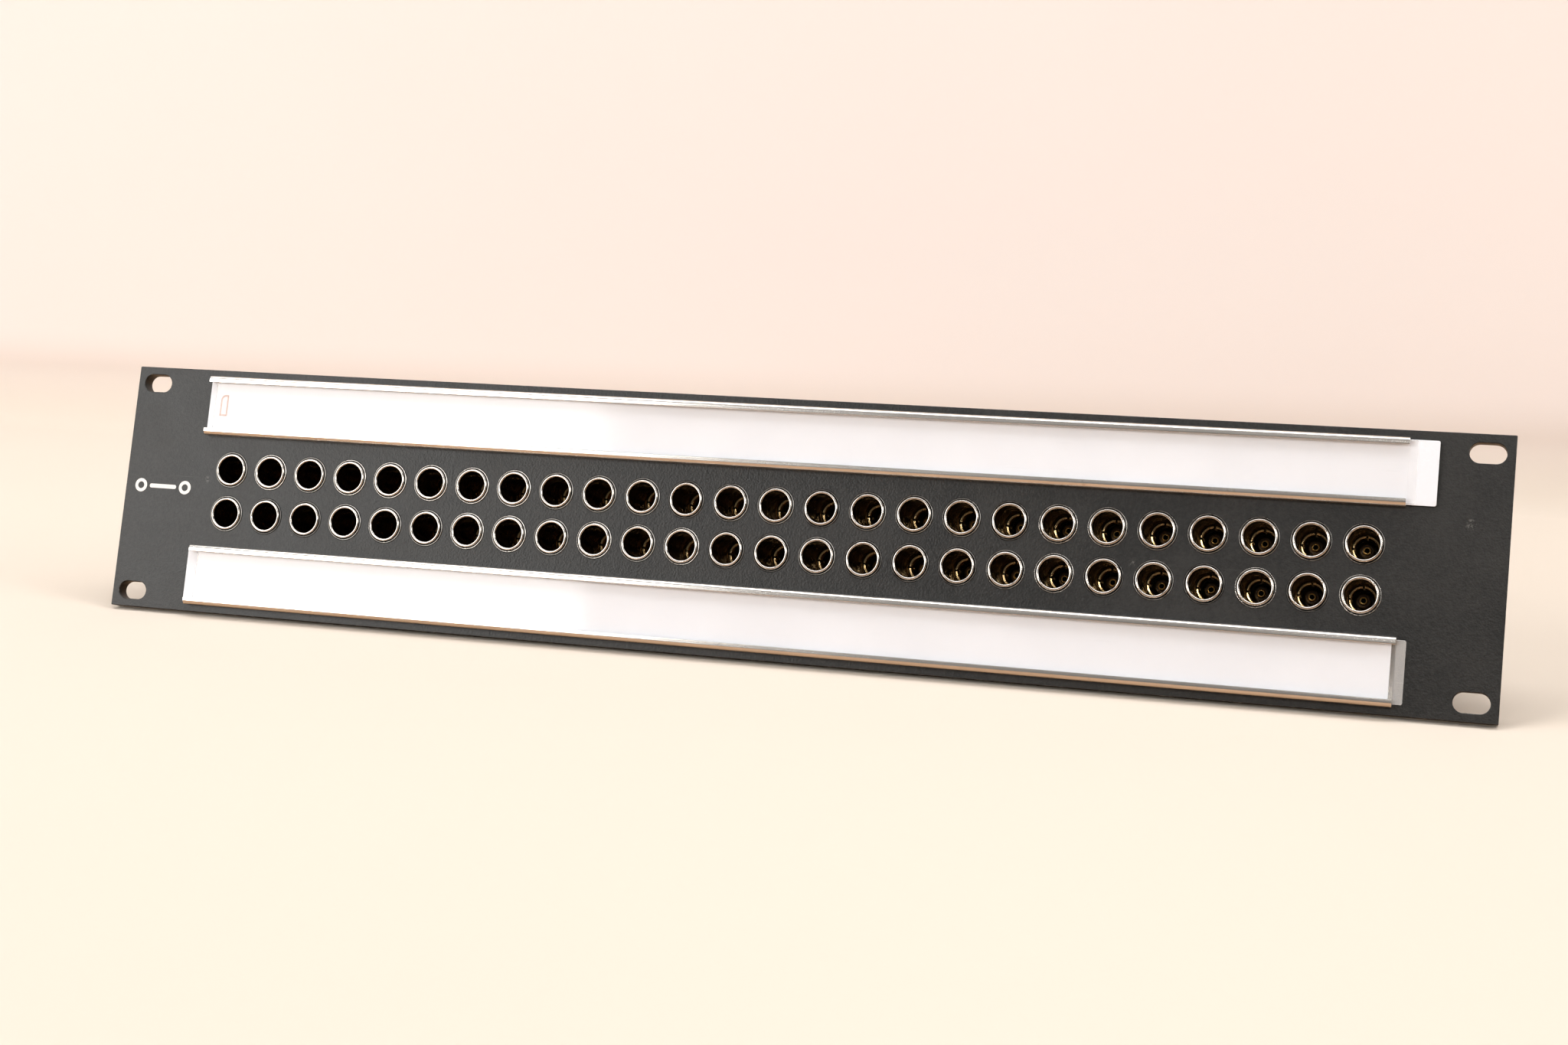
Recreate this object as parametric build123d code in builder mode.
from build123d import *
import os

# Two-row coaxial patch bay, 2 x 26 jacks on a two-unit 19 inch rack panel.
# Frame: +X to the right seen from the front, +Y to the rear, +Z up.
# Origin: centre of the panel's rear face, the face that seats on the rack rails.
# Each repeated piece is built once in its own frame, then copied along the rows.

os.makedirs("parts", exist_ok=True)

# ================= shared dimensions, millimetres =================
FIT = 0.01               # radial clearance between mating round parts

PANEL_W = 482.6          # 19 inch panel
PANEL_H = 88.1           # two rack units less clearance
PANEL_T = 4.76           # 3/16 inch plate

N_JACKS = 26             # jacks in a row
PITCH = 15.875           # 5/8 inch
ROW_DZ = PITCH           # row spacing

BUSH_R = 6.35            # panel bushing outside radius
BARREL_R = 5.75          # jack barrel outside radius
BARREL_END = 30.0
SEAT_R = 4.6             # seat for the inner parts, in the rear of the barrel
CONTACT_R = 1.4          # centre contact

HOLDER_Z = 30.8          # label channel centre above and below the panel centre
HOLDER_T = 0.5           # channel sheet thickness
RIVET_PITCH = 60
RIVET_R = 1.5
RIVET_HOLE_R = 1.55

BODY_W = 14.4            # jack module housing
BODY_H = 30.8
BODY_L = 74.0
WALL = 1.2
EAR_T = 4.0
FRONT_BLOCK = 10.0       # the cavity runs from the front block to the rear block
REAR_BLOCK = 66.0
SCREW_Z = 18.6           # module screws above and below the panel centre
PIVOT_Y = 50.0           # switch lever pivot pin
PIN_R = 1.0

HALF_ROW = ROW_DZ / 2
HALF_W = BODY_W / 2
HALF_H = BODY_H / 2
COVER_SEAT_X = HALF_W - WALL
CAVITY_L = REAR_BLOCK - FRONT_BLOCK
CAVITY_Y = (FRONT_BLOCK + REAR_BLOCK) / 2
COVER_L = CAVITY_L + 2 * 5.0                # the cover laps 5 mm over each block
COVER_SCREWS_YZ = [(7.5, 0), (68.5, 0)]

JACK_XS = [(i - (N_JACKS - 1) / 2) * PITCH for i in range(N_JACKS)]
RIVET_XS = [i * RIVET_PITCH for i in range(-3, 4)]
RIVETS_XZ = [(x, z) for x in RIVET_XS for z in (HOLDER_Z, -HOLDER_Z)]

# The lower row is the upper row turned half a turn about the jack axis.
HALF_TURN = (0, 180, 0)
JACKS = [Location((x, 0, HALF_ROW)) for x in JACK_XS]
JACKS += [Location((x, 0, -HALF_ROW), HALF_TURN) for x in JACK_XS]
MODULES = [Location((x, 0, 0)) for x in JACK_XS]
MODULES_TURNED = [Location((x, 0, 0), HALF_TURN) for x in JACK_XS]


# ================= helpers =================
def save(part, name):
    part.label = name
    export_step(part, "parts/" + name + ".step")


def save_copies(part, places, name):
    """Copy a part to every place and save the copies as one piece."""
    with BuildPart() as copies:
        with Locations(*places):
            add(part)
    save(copies.part, name)


def save_upper_and_lower(part, name):
    """Save a module part as built, and turned over for the lower row."""
    save_copies(part, MODULES, "upper_" + name)
    save_copies(part, MODULES_TURNED, "lower_" + name)


def turned(points, axis=Axis.Y):
    """Revolve a closed outline, drawn in the XY plane, about an axis."""
    with BuildPart() as piece:
        with BuildSketch(Plane.XY):
            with BuildLine():
                Polyline(*points, close=True)
            make_face()
        revolve(axis=axis)
    return piece.part


# ================= panel =================
RACK_SLOT_DX = 466.3     # slot centres, side to side
RACK_SLOT_DZ = 76.2      # slot centres, top to bottom
RACK_SLOT_L = 11.1
RACK_SLOT_W = 6.4
FRONT_CHAMFER = 0.3
TAPPED_R = 1.5
TAPPED_DEPTH = 3.6

with BuildPart() as front_panel:
    with BuildSketch(Plane.XZ):
        Rectangle(PANEL_W, PANEL_H)
    extrude(amount=PANEL_T)
    # fine break on the front perimeter
    front_edges = front_panel.faces().sort_by(Axis.Y)[0].edges()
    chamfer(front_edges, length=FRONT_CHAMFER)
    # through holes: rack slots, bushings, rivets
    with BuildSketch(Plane.XZ):
        with GridLocations(RACK_SLOT_DX, RACK_SLOT_DZ, 2, 2):
            SlotOverall(RACK_SLOT_L, RACK_SLOT_W)
        with GridLocations(PITCH, ROW_DZ, N_JACKS, 2):
            Circle(BUSH_R + FIT)
        with Locations(*RIVETS_XZ):
            Circle(RIVET_HOLE_R)
    extrude(amount=PANEL_T, mode=Mode.SUBTRACT)
    # blind tapped holes for the module screws, from the rear
    with BuildSketch(Plane.XZ):
        with GridLocations(PITCH, 2 * SCREW_Z, N_JACKS, 2):
            Circle(TAPPED_R)
    extrude(amount=TAPPED_DEPTH, mode=Mode.SUBTRACT)
save(front_panel.part, "front_panel")

# ================= label holders =================
HOLDER_L = 420.0
HOLDER_H = 21.6
LIP_Y = 1.63             # the side wall turns over into a quarter-round lip here
LIP_R = 1.5              # outside radius of the lip
LIP_RETURN = 0.9         # flat edge past the round, parallel to the panel
COS_45 = 0.5 ** 0.5      # places the middle point of each quarter round

# channel with a flat floor, two side walls and two lips turned over the cards
with BuildPart() as holder:
    with BuildSketch(Plane.YZ.offset(-HOLDER_L / 2)):
        with BuildLine():
            z_wall = HOLDER_H / 2
            z_wall_in = z_wall - HOLDER_T
            z_turn = z_wall - LIP_R
            z_edge = z_turn - LIP_RETURN
            y_back = -PANEL_T
            y_floor = y_back - HOLDER_T
            y_turn = y_back - LIP_Y
            r_in = LIP_R - HOLDER_T
            Line((y_back, -z_wall), (y_back, z_wall))
            for side in (1, -1):
                Line((y_back, side * z_wall), (y_turn, side * z_wall))
                ThreePointArc(
                    (y_turn, side * z_wall),
                    (y_turn - COS_45 * LIP_R, side * (z_turn + COS_45 * LIP_R)),
                    (y_turn - LIP_R, side * z_turn),
                )
                Polyline(
                    (y_turn - LIP_R, side * z_turn), (y_turn - LIP_R, side * z_edge),
                    (y_turn - r_in, side * z_edge), (y_turn - r_in, side * z_turn),
                )
                ThreePointArc(
                    (y_turn - r_in, side * z_turn),
                    (y_turn - COS_45 * r_in, side * (z_turn + COS_45 * r_in)),
                    (y_turn, side * z_wall_in),
                )
                Line((y_turn, side * z_wall_in), (y_floor, side * z_wall_in))
            Line((y_floor, z_wall_in), (y_floor, -z_wall_in))
        make_face()
    extrude(amount=HOLDER_L)
    # rivet holes in the floor
    with BuildSketch(Plane.XZ.offset(PANEL_T)):
        with Locations(*[(x, 0) for x in RIVET_XS]):
            Circle(RIVET_HOLE_R)
    extrude(amount=HOLDER_T + 0.1, mode=Mode.SUBTRACT)
save_copies(holder.part, [(0, 0, HOLDER_Z)], "upper_label_holder")
save_copies(holder.part, [(0, 0, -HOLDER_Z)], "lower_label_holder")

# flat-headed rivet through the channel floor and the panel
HEAD_Y = -PANEL_T - HOLDER_T
rivet = turned([
    (0, HEAD_Y - 0.33), (2.3, HEAD_Y - 0.33), (2.6, HEAD_Y), (RIVET_R, HEAD_Y),
    (RIVET_R, 0), (2.5, 0), (2.5, 0.5), (1.9, 1.0), (0, 1.0),
])
save_copies(rivet, [(x, 0, z) for x, z in RIVETS_XZ], "holder_rivets")

# ================= label cards and clear windows =================
STRIP_CORNER = 0.5
# rear face in front of the panel, thickness, height
CARD = (1.04, 0.25, 20.3)
WINDOW = (1.39, 0.75, 19.7)

# name, left end, right end, centre height, section
LABEL_STRIPS = [
    ("upper_label_card", -209.9, 219.0, HOLDER_Z, CARD),
    ("upper_label_window", -207.3, 212.7, HOLDER_Z, WINDOW),
    ("lower_label_card", -211.2, 208.8, -HOLDER_Z, CARD),
    ("lower_label_window", -206.9, 213.1, -HOLDER_Z, WINDOW),
]

for name, x_left, x_right, z_centre, (standoff, thickness, height) in LABEL_STRIPS:
    with BuildPart() as label_strip:
        with BuildSketch(Plane.XZ.offset(PANEL_T + standoff)):
            with Locations(((x_left + x_right) / 2, z_centre)):
                RectangleRounded(x_right - x_left, height, STRIP_CORNER)
        extrude(amount=thickness)
    save(label_strip.part, name)

# ================= jack front ends =================
# thin plated bushing pressed into each panel hole
BUSH_BORE = 6.05
BUSH_REAR = -0.06
BUSH_FRONT = -PANEL_T - 0.28
bushing = turned([
    (BUSH_BORE, BUSH_REAR), (BUSH_BORE, -PANEL_T - 0.1), (BUSH_BORE + 0.12, BUSH_FRONT),
    (BUSH_R - 0.1, BUSH_FRONT), (BUSH_R, -PANEL_T - 0.14), (BUSH_R, BUSH_REAR),
])
save_copies(bushing, JACKS, "panel_bushings")

# jack barrel: full-round lip, flange held between the panel and the housing,
# and a window on its inner side for the switch lever's toe
BORE_R = 4.85
BORE_STEP = 11.5         # the bore steps down to the seat here
BARREL_PROUD = 0.9       # barrel stands proud of the panel
FLANGE_R = 6.6
FLANGE_FRONT = 0.05
FLANGE_REAR = 1.25

with BuildPart() as barrel:
    with BuildSketch(Plane.XY):
        with BuildLine():
            round_r = (BARREL_R - BORE_R) / 2
            y_round = -PANEL_T - BARREL_PROUD + round_r
            Line((BORE_R, BORE_STEP), (BORE_R, y_round))
            ThreePointArc(
                (BORE_R, y_round), (BORE_R + round_r, y_round - round_r), (BARREL_R, y_round)
            )
            Polyline(
                (BARREL_R, y_round), (BARREL_R, FLANGE_FRONT), (FLANGE_R, FLANGE_FRONT),
                (FLANGE_R, FLANGE_REAR), (BARREL_R, FLANGE_REAR), (BARREL_R, BARREL_END),
                (SEAT_R, BARREL_END), (SEAT_R, BORE_STEP), (BORE_R, BORE_STEP),
            )
        make_face()
    revolve(axis=Axis.Y)
    with Locations((-2.2, 22.7, -4.0)):
        Box(3.8, 5.0, 4.0, mode=Mode.SUBTRACT)
save_copies(barrel.part, JACKS, "jack_barrels")

# ground sleeve that grips the plug's shield, cross-slotted from the front
SLEEVE_SLOT_W = 0.7
SLEEVE_SLOT_L = 6.0
sleeve_blank = turned([
    (3.6, 20.0), (3.6, 11.7), (4.3, 11.7), (4.3, 18.6),
    (SEAT_R - FIT, 18.6), (SEAT_R - FIT, 20.0),
])
with BuildPart() as sleeve:
    add(sleeve_blank)
    with Locations((0, 14.4, 0)):
        Box(SLEEVE_SLOT_W, SLEEVE_SLOT_L, 12, mode=Mode.SUBTRACT)
        Box(12, SLEEVE_SLOT_L, SLEEVE_SLOT_W, mode=Mode.SUBTRACT)
save_copies(sleeve.part, JACKS, "ground_sleeves")

# centre contact: split socket at the front, rod to the rear connector
CONTACT_Y = 14.7         # front of the socket
SOCKET_R = 0.66
SOCKET_END = 21.0
ROD_R = 1.0
ROD_END = 61.9
contact_blank = turned([
    (0, SOCKET_END), (SOCKET_R, SOCKET_END), (SOCKET_R, CONTACT_Y), (CONTACT_R, CONTACT_Y),
    (CONTACT_R, 42.0), (ROD_R, 42.4), (ROD_R, ROD_END), (0, ROD_END),
])
with BuildPart() as contact:
    add(contact_blank)
    with Locations((0, CONTACT_Y + 2.9, 0)):
        Box(0.3, 6.0, 4, mode=Mode.SUBTRACT)
save_copies(contact.part, JACKS, "centre_contacts")

# insulator: bead in the barrel's rear end with a tube forward around the contact
TUBE_BORE = CONTACT_R + 0.02
TUBE_R = 2.3
BEAD_FRONT = 26.0
insulator = turned([
    (TUBE_BORE, BARREL_END), (TUBE_BORE, 16.2), (2.05, 16.2), (TUBE_R, 16.45),
    (TUBE_R, BEAD_FRONT), (SEAT_R - FIT, BEAD_FRONT), (SEAT_R - FIT, BARREL_END),
])
save_copies(insulator, JACKS, "contact_insulators")

# ================= normalling switch =================
LEVER_X = -3.8           # left side of the lever
LEVER_W = 3.2
ARM_TOP = 1.9
ARM_BOTTOM = 0.72
HUB_R = 2.2
LEAF_X = -3.2            # left side of the contact blade and of the spring
LEAF_W = 2.0

# lever, outline as (y, z): hub on the pivot pin, cam toe in the barrel window,
# raised arm for the contact blade
with BuildPart() as lever:
    with BuildSketch(Plane.YZ.offset(LEVER_X)):
        with BuildLine():
            Polyline(
                (PIVOT_Y - 1.0, ARM_BOTTOM), (21.0, ARM_BOTTOM), (21.0, 4.8), (21.7, 5.35),
                (23.2, 5.35), (24.2, 4.6), (24.2, ARM_TOP), (35.0, ARM_TOP), (35.0, 6.15),
                (38.6, 6.15), (38.6, ARM_TOP), (PIVOT_Y - 1.0, ARM_TOP), close=True,
            )
        make_face()
        with Locations((PIVOT_Y, 0)):
            Circle(HUB_R)
            Circle(PIN_R + 0.03, mode=Mode.SUBTRACT)
    extrude(amount=LEVER_W)
save_upper_and_lower(lever.part, "switch_levers")

# contact blade on the lever, outline as (y, z): riser and tail along the arm,
# and a pad reaching sideways under the centre rod
with BuildPart() as blade:
    with BuildSketch(Plane.YZ.offset(LEAF_X)):
        with BuildLine():
            Polyline(
                (35.2, 6.17), (38.62, 6.17), (38.62, 1.92), (47.4, 1.92),
                (47.4, 2.17), (38.87, 2.17), (38.87, 6.47), (35.2, 6.47), close=True,
            )
        make_face()
    extrude(amount=LEAF_W)
    with BuildSketch(Plane.YZ.offset(LEAF_X + LEAF_W)):
        with Locations((36.8, 6.32)):
            Rectangle(2.6, 0.3)
    extrude(amount=2.0)
save_upper_and_lower(blade.part, "contact_blades")

# leaf return spring, outline as (y, z): seated on the housing's middle rib,
# tip under the lever arm
with BuildPart() as spring:
    with BuildSketch(Plane.YZ.offset(LEAF_X)):
        with BuildLine():
            Polyline(
                (10.6, 0.62), (19.2, 0.62), (21.0, 0.12), (32.4, 0.42), (33.0, 0.40),
                (33.0, 0.65), (32.4, 0.68), (21.1, 0.38), (19.4, 0.88), (10.6, 0.88),
                close=True,
            )
        make_face()
    extrude(amount=LEAF_W)
save_upper_and_lower(spring.part, "lever_springs")

# one pivot pin per module carries both levers
PIN_L = 13.1
with BuildPart() as pivot_pin:
    with BuildSketch(Plane.YZ.offset(-PIN_L / 2)):
        with Locations((PIVOT_Y, 0)):
            Circle(PIN_R)
    extrude(amount=PIN_L)
save_copies(pivot_pin.part, MODULES, "lever_pivot_pins")

# terminating resistor with its two leads; two to a module, set diagonally
RESISTOR_OFFSET = 3.0
LEAD_R = 0.3
resistor = turned([
    (0, 52.8), (LEAD_R, 52.8), (LEAD_R, 54.6), (1.0, 54.6), (1.15, 54.9), (1.15, 56.0),
    (1.0, 56.2), (1.0, 58.8), (1.15, 59.0), (1.15, 60.1), (1.0, 60.4), (LEAD_R, 60.4),
    (LEAD_R, 62.6), (0, 62.6),
])
resistor_places = [
    (x + offset, 0, -offset) for x in JACK_XS for offset in (RESISTOR_OFFSET, -RESISTOR_OFFSET)
]
save_copies(resistor, resistor_places, "termination_resistors")

# ================= jack module housing =================
EAR_Z = 21.6             # ear tips above and below the centre
FOOT_INSET = 2.2         # ear foot stops short of the housing sides
FOOT_L = 5.0
FOOT_RISE = 0.5
RIB_T = 1.2
RECESS_DEPTH = 0.4
PIN_SEAT_DEPTH = 0.6     # in the housing wall and in the cover

with BuildPart() as housing:
    with BuildSketch(Plane.XZ):
        RectangleRounded(BODY_W, BODY_H, 0.8)
    extrude(amount=-BODY_L)
    # mounting ears, above and below
    with BuildSketch(Plane.XZ):
        RectangleRounded(BODY_W, 2 * EAR_Z, 1.6)
    extrude(amount=-EAR_T)
    # foot of each ear is thickened towards the body
    with BuildSketch(Plane.YZ.offset(-HALF_W + FOOT_INSET)):
        for side in (1, -1):
            with BuildLine():
                Polyline(
                    (EAR_T, side * HALF_H), (EAR_T, side * (HALF_H + FOOT_RISE)),
                    (EAR_T + FOOT_L, side * HALF_H), close=True,
                )
            make_face()
    extrude(amount=BODY_W - 2 * FOOT_INSET)
    # seat for the side cover, then the cavity behind it
    with Locations((HALF_W - WALL / 2, CAVITY_Y, 0)):
        Box(WALL, COVER_L, BODY_H + 1, mode=Mode.SUBTRACT)
    with Locations((WALL / 2, CAVITY_Y, 0)):
        Box(BODY_W - WALL, CAVITY_L, BODY_H - 2 * WALL, mode=Mode.SUBTRACT)
    # middle rib that seats the leaf springs
    with Locations((0, 14.5, 0)):
        Box(BODY_W - 2 * WALL, 9.1, RIB_T)
    # barrel holes with a counterbore for the flange
    with BuildSketch(Plane.XZ):
        with GridLocations(ROW_DZ, ROW_DZ, 1, 2):
            Circle(BARREL_R + FIT)
    extrude(amount=-FRONT_BLOCK - 0.1, mode=Mode.SUBTRACT)
    with BuildSketch(Plane.XZ):
        with GridLocations(ROW_DZ, ROW_DZ, 1, 2):
            Circle(FLANGE_R + 0.05)
    extrude(amount=-FLANGE_REAR - 0.05, mode=Mode.SUBTRACT)
    # rear connector holes
    with BuildSketch(Plane.XZ.offset(-REAR_BLOCK + 0.1)):
        with GridLocations(ROW_DZ, ROW_DZ, 1, 2):
            Circle(4.8)
    extrude(amount=-(BODY_L - REAR_BLOCK) - 0.2, mode=Mode.SUBTRACT)
    # ear holes
    with BuildSketch(Plane.XZ):
        with GridLocations(1, 2 * SCREW_Z, 1, 2):
            Circle(1.7)
    extrude(amount=-EAR_T, mode=Mode.SUBTRACT)
    # blind seat for the pivot pin
    with BuildSketch(Plane.YZ.offset(-HALF_W + WALL - PIN_SEAT_DEPTH)):
        with Locations((PIVOT_Y, 0)):
            Circle(PIN_R + FIT)
    extrude(amount=PIN_SEAT_DEPTH + 0.1, mode=Mode.SUBTRACT)
    # tapped holes for the cover screws
    with BuildSketch(Plane.YZ.offset(COVER_SEAT_X)):
        with Locations(*COVER_SCREWS_YZ):
            Circle(1.01)
    extrude(amount=-4.2, mode=Mode.SUBTRACT)
    # shallow cast recess on the top and the bottom
    for side in (1, -1):
        with Locations((-0.6, 37.0, side * (HALF_H - RECESS_DEPTH / 2))):
            Box(8.4, 50.0, RECESS_DEPTH + 0.01, mode=Mode.SUBTRACT)
save_copies(housing.part, MODULES, "jack_housings")

# side cover plate
COVER_GAP = 0.02         # between the cover and its seat
with BuildPart() as cover:
    with BuildSketch(Plane.YZ.offset(COVER_SEAT_X + COVER_GAP)):
        with Locations((CAVITY_Y, 0)):
            RectangleRounded(COVER_L - 0.1, BODY_H - 0.1, 0.6)
    extrude(amount=WALL - COVER_GAP)
    # countersunk screw holes
    with BuildSketch(Plane.YZ.offset(COVER_SEAT_X)):
        with Locations(*COVER_SCREWS_YZ):
            Circle(1.1)
    extrude(amount=WALL + 0.1, mode=Mode.SUBTRACT)
    for y, z in COVER_SCREWS_YZ:
        with Locations(Location((HALF_W - 0.4, y, z), (0, 90, 0))):
            Cone(1.1, 2.02, 0.92, mode=Mode.SUBTRACT)
    # blind seat for the pivot pin
    with BuildSketch(Plane.YZ.offset(COVER_SEAT_X)):
        with Locations((PIVOT_Y, 0)):
            Circle(PIN_R + FIT)
    extrude(amount=PIN_SEAT_DEPTH, mode=Mode.SUBTRACT)
save_copies(cover.part, MODULES, "housing_covers")

# countersunk cover screw, slotted head towards +X
COVER_SCREW_TIP = COVER_SEAT_X - 4.0
COVER_SCREW_HEAD = HALF_W - 0.02
cover_screw_blank = turned([
    (COVER_SCREW_TIP, 0), (COVER_SCREW_TIP, 1.0), (HALF_W - 0.86, 1.0),
    (COVER_SCREW_HEAD, 1.9), (COVER_SCREW_HEAD, 0),
], axis=Axis.X)
with BuildPart() as cover_screw:
    add(cover_screw_blank)
    with Locations((HALF_W - 0.2, 0, 0)):
        Box(0.5, 0.5, 3.0, mode=Mode.SUBTRACT)
cover_screw_places = [(x, y, z) for x in JACK_XS for y, z in COVER_SCREWS_YZ]
save_copies(cover_screw.part, cover_screw_places, "cover_screws")

# socket-head module screw, driven from the rear through the ear
SHANK_R = 1.49
SHANK_TIP = -3.4
HEAD_R = 2.75
HEAD_REAR = EAR_T + 2.1
module_screw_blank = turned([
    (0, SHANK_TIP), (1.2, SHANK_TIP), (SHANK_R, -3.1), (SHANK_R, EAR_T), (HEAD_R, EAR_T),
    (HEAD_R, EAR_T + 1.7), (2.4, HEAD_REAR), (0, HEAD_REAR),
])
with BuildPart() as module_screw:
    add(module_screw_blank)
    with BuildSketch(Plane.XZ.offset(-HEAD_REAR)):
        RegularPolygon(1.25, 6, major_radius=False)
    extrude(amount=1.3, mode=Mode.SUBTRACT)
module_screw_places = [(x, 0, z) for x in JACK_XS for z in (SCREW_Z, -SCREW_Z)]
save_copies(module_screw.part, module_screw_places, "module_screws")

# ================= rear bayonet connectors =================
BNC_R = 4.83             # barrel outside radius
BNC_NECK_R = 4.74        # barrel where it passes the housing, washer and nut
BNC_BORE = 4.06
BNC_FRONT = 63.2
BNC_END = 92.5
BNC_FLANGE_R = 5.9
BNC_FLANGE_REAR = 65.95
LUG_Y = 87.2
LUG_R = 1.0

shell_blank = turned([
    (BNC_BORE, BNC_FRONT), (BNC_FLANGE_R, BNC_FRONT), (BNC_FLANGE_R, BNC_FLANGE_REAR),
    (BNC_NECK_R, BNC_FLANGE_REAR), (BNC_NECK_R, 79.0), (BNC_R, 79.2), (BNC_R, BNC_END - 0.4),
    (BNC_R - 0.35, BNC_END), (4.4, BNC_END), (BNC_BORE, BNC_END - 0.5),
])
with BuildPart() as bnc_shell:
    add(shell_blank)
    # bayonet lugs on the right and left sides
    for lug_x in (4.5, -5.5):
        with BuildSketch(Plane.YZ.offset(lug_x)):
            with Locations((LUG_Y, 0)):
                Circle(LUG_R)
        extrude(amount=1.0)
save_copies(bnc_shell.part, JACKS, "bnc_shells")

bnc_insulator = turned([
    (1.12, 64.0), (BNC_BORE - FIT, 64.0), (BNC_BORE - FIT, 82.0), (2.45, 82.0),
    (2.45, 88.2), (2.2, 88.5), (1.12, 88.5),
])
save_copies(bnc_insulator, JACKS, "bnc_insulators")

bnc_contact = turned([
    (0, 62.0), (1.1, 62.0), (1.1, 88.2), (0.9, 88.4), (0.7, 88.4), (0.68, 88.2),
    (0.68, 82.4), (0, 82.4),
])
save_copies(bnc_contact, JACKS, "bnc_contacts")

# split spring washer on the rear of the housing
with BuildPart() as lock_washer:
    with BuildSketch(Plane.XZ.offset(-BODY_L - 0.02)):
        Circle(6.5)
        Circle(4.9, mode=Mode.SUBTRACT)
        with Locations((5.7, 0)):
            Rectangle(2.0, 0.7, mode=Mode.SUBTRACT)
    extrude(amount=-0.66)
save_copies(lock_washer.part, JACKS, "bnc_lock_washers")

# hexagon nut behind the washer
with BuildPart() as bnc_nut:
    with BuildSketch(Plane.XZ.offset(-BODY_L - 0.7)):
        RegularPolygon(6.35, 6, major_radius=False)
        Circle(BNC_NECK_R + 0.03, mode=Mode.SUBTRACT)
    extrude(amount=-2.6)
    # corners turned back on the outer face
    with BuildSketch(Plane.XY):
        with BuildLine():
            Polyline(
                (0, BODY_L), (8.0, BODY_L), (8.0, 76.4), (6.5, 77.4), (0, 77.4), close=True
            )
        make_face()
    revolve(axis=Axis.Y, mode=Mode.INTERSECT)
save_copies(bnc_nut.part, JACKS, "bnc_nuts")
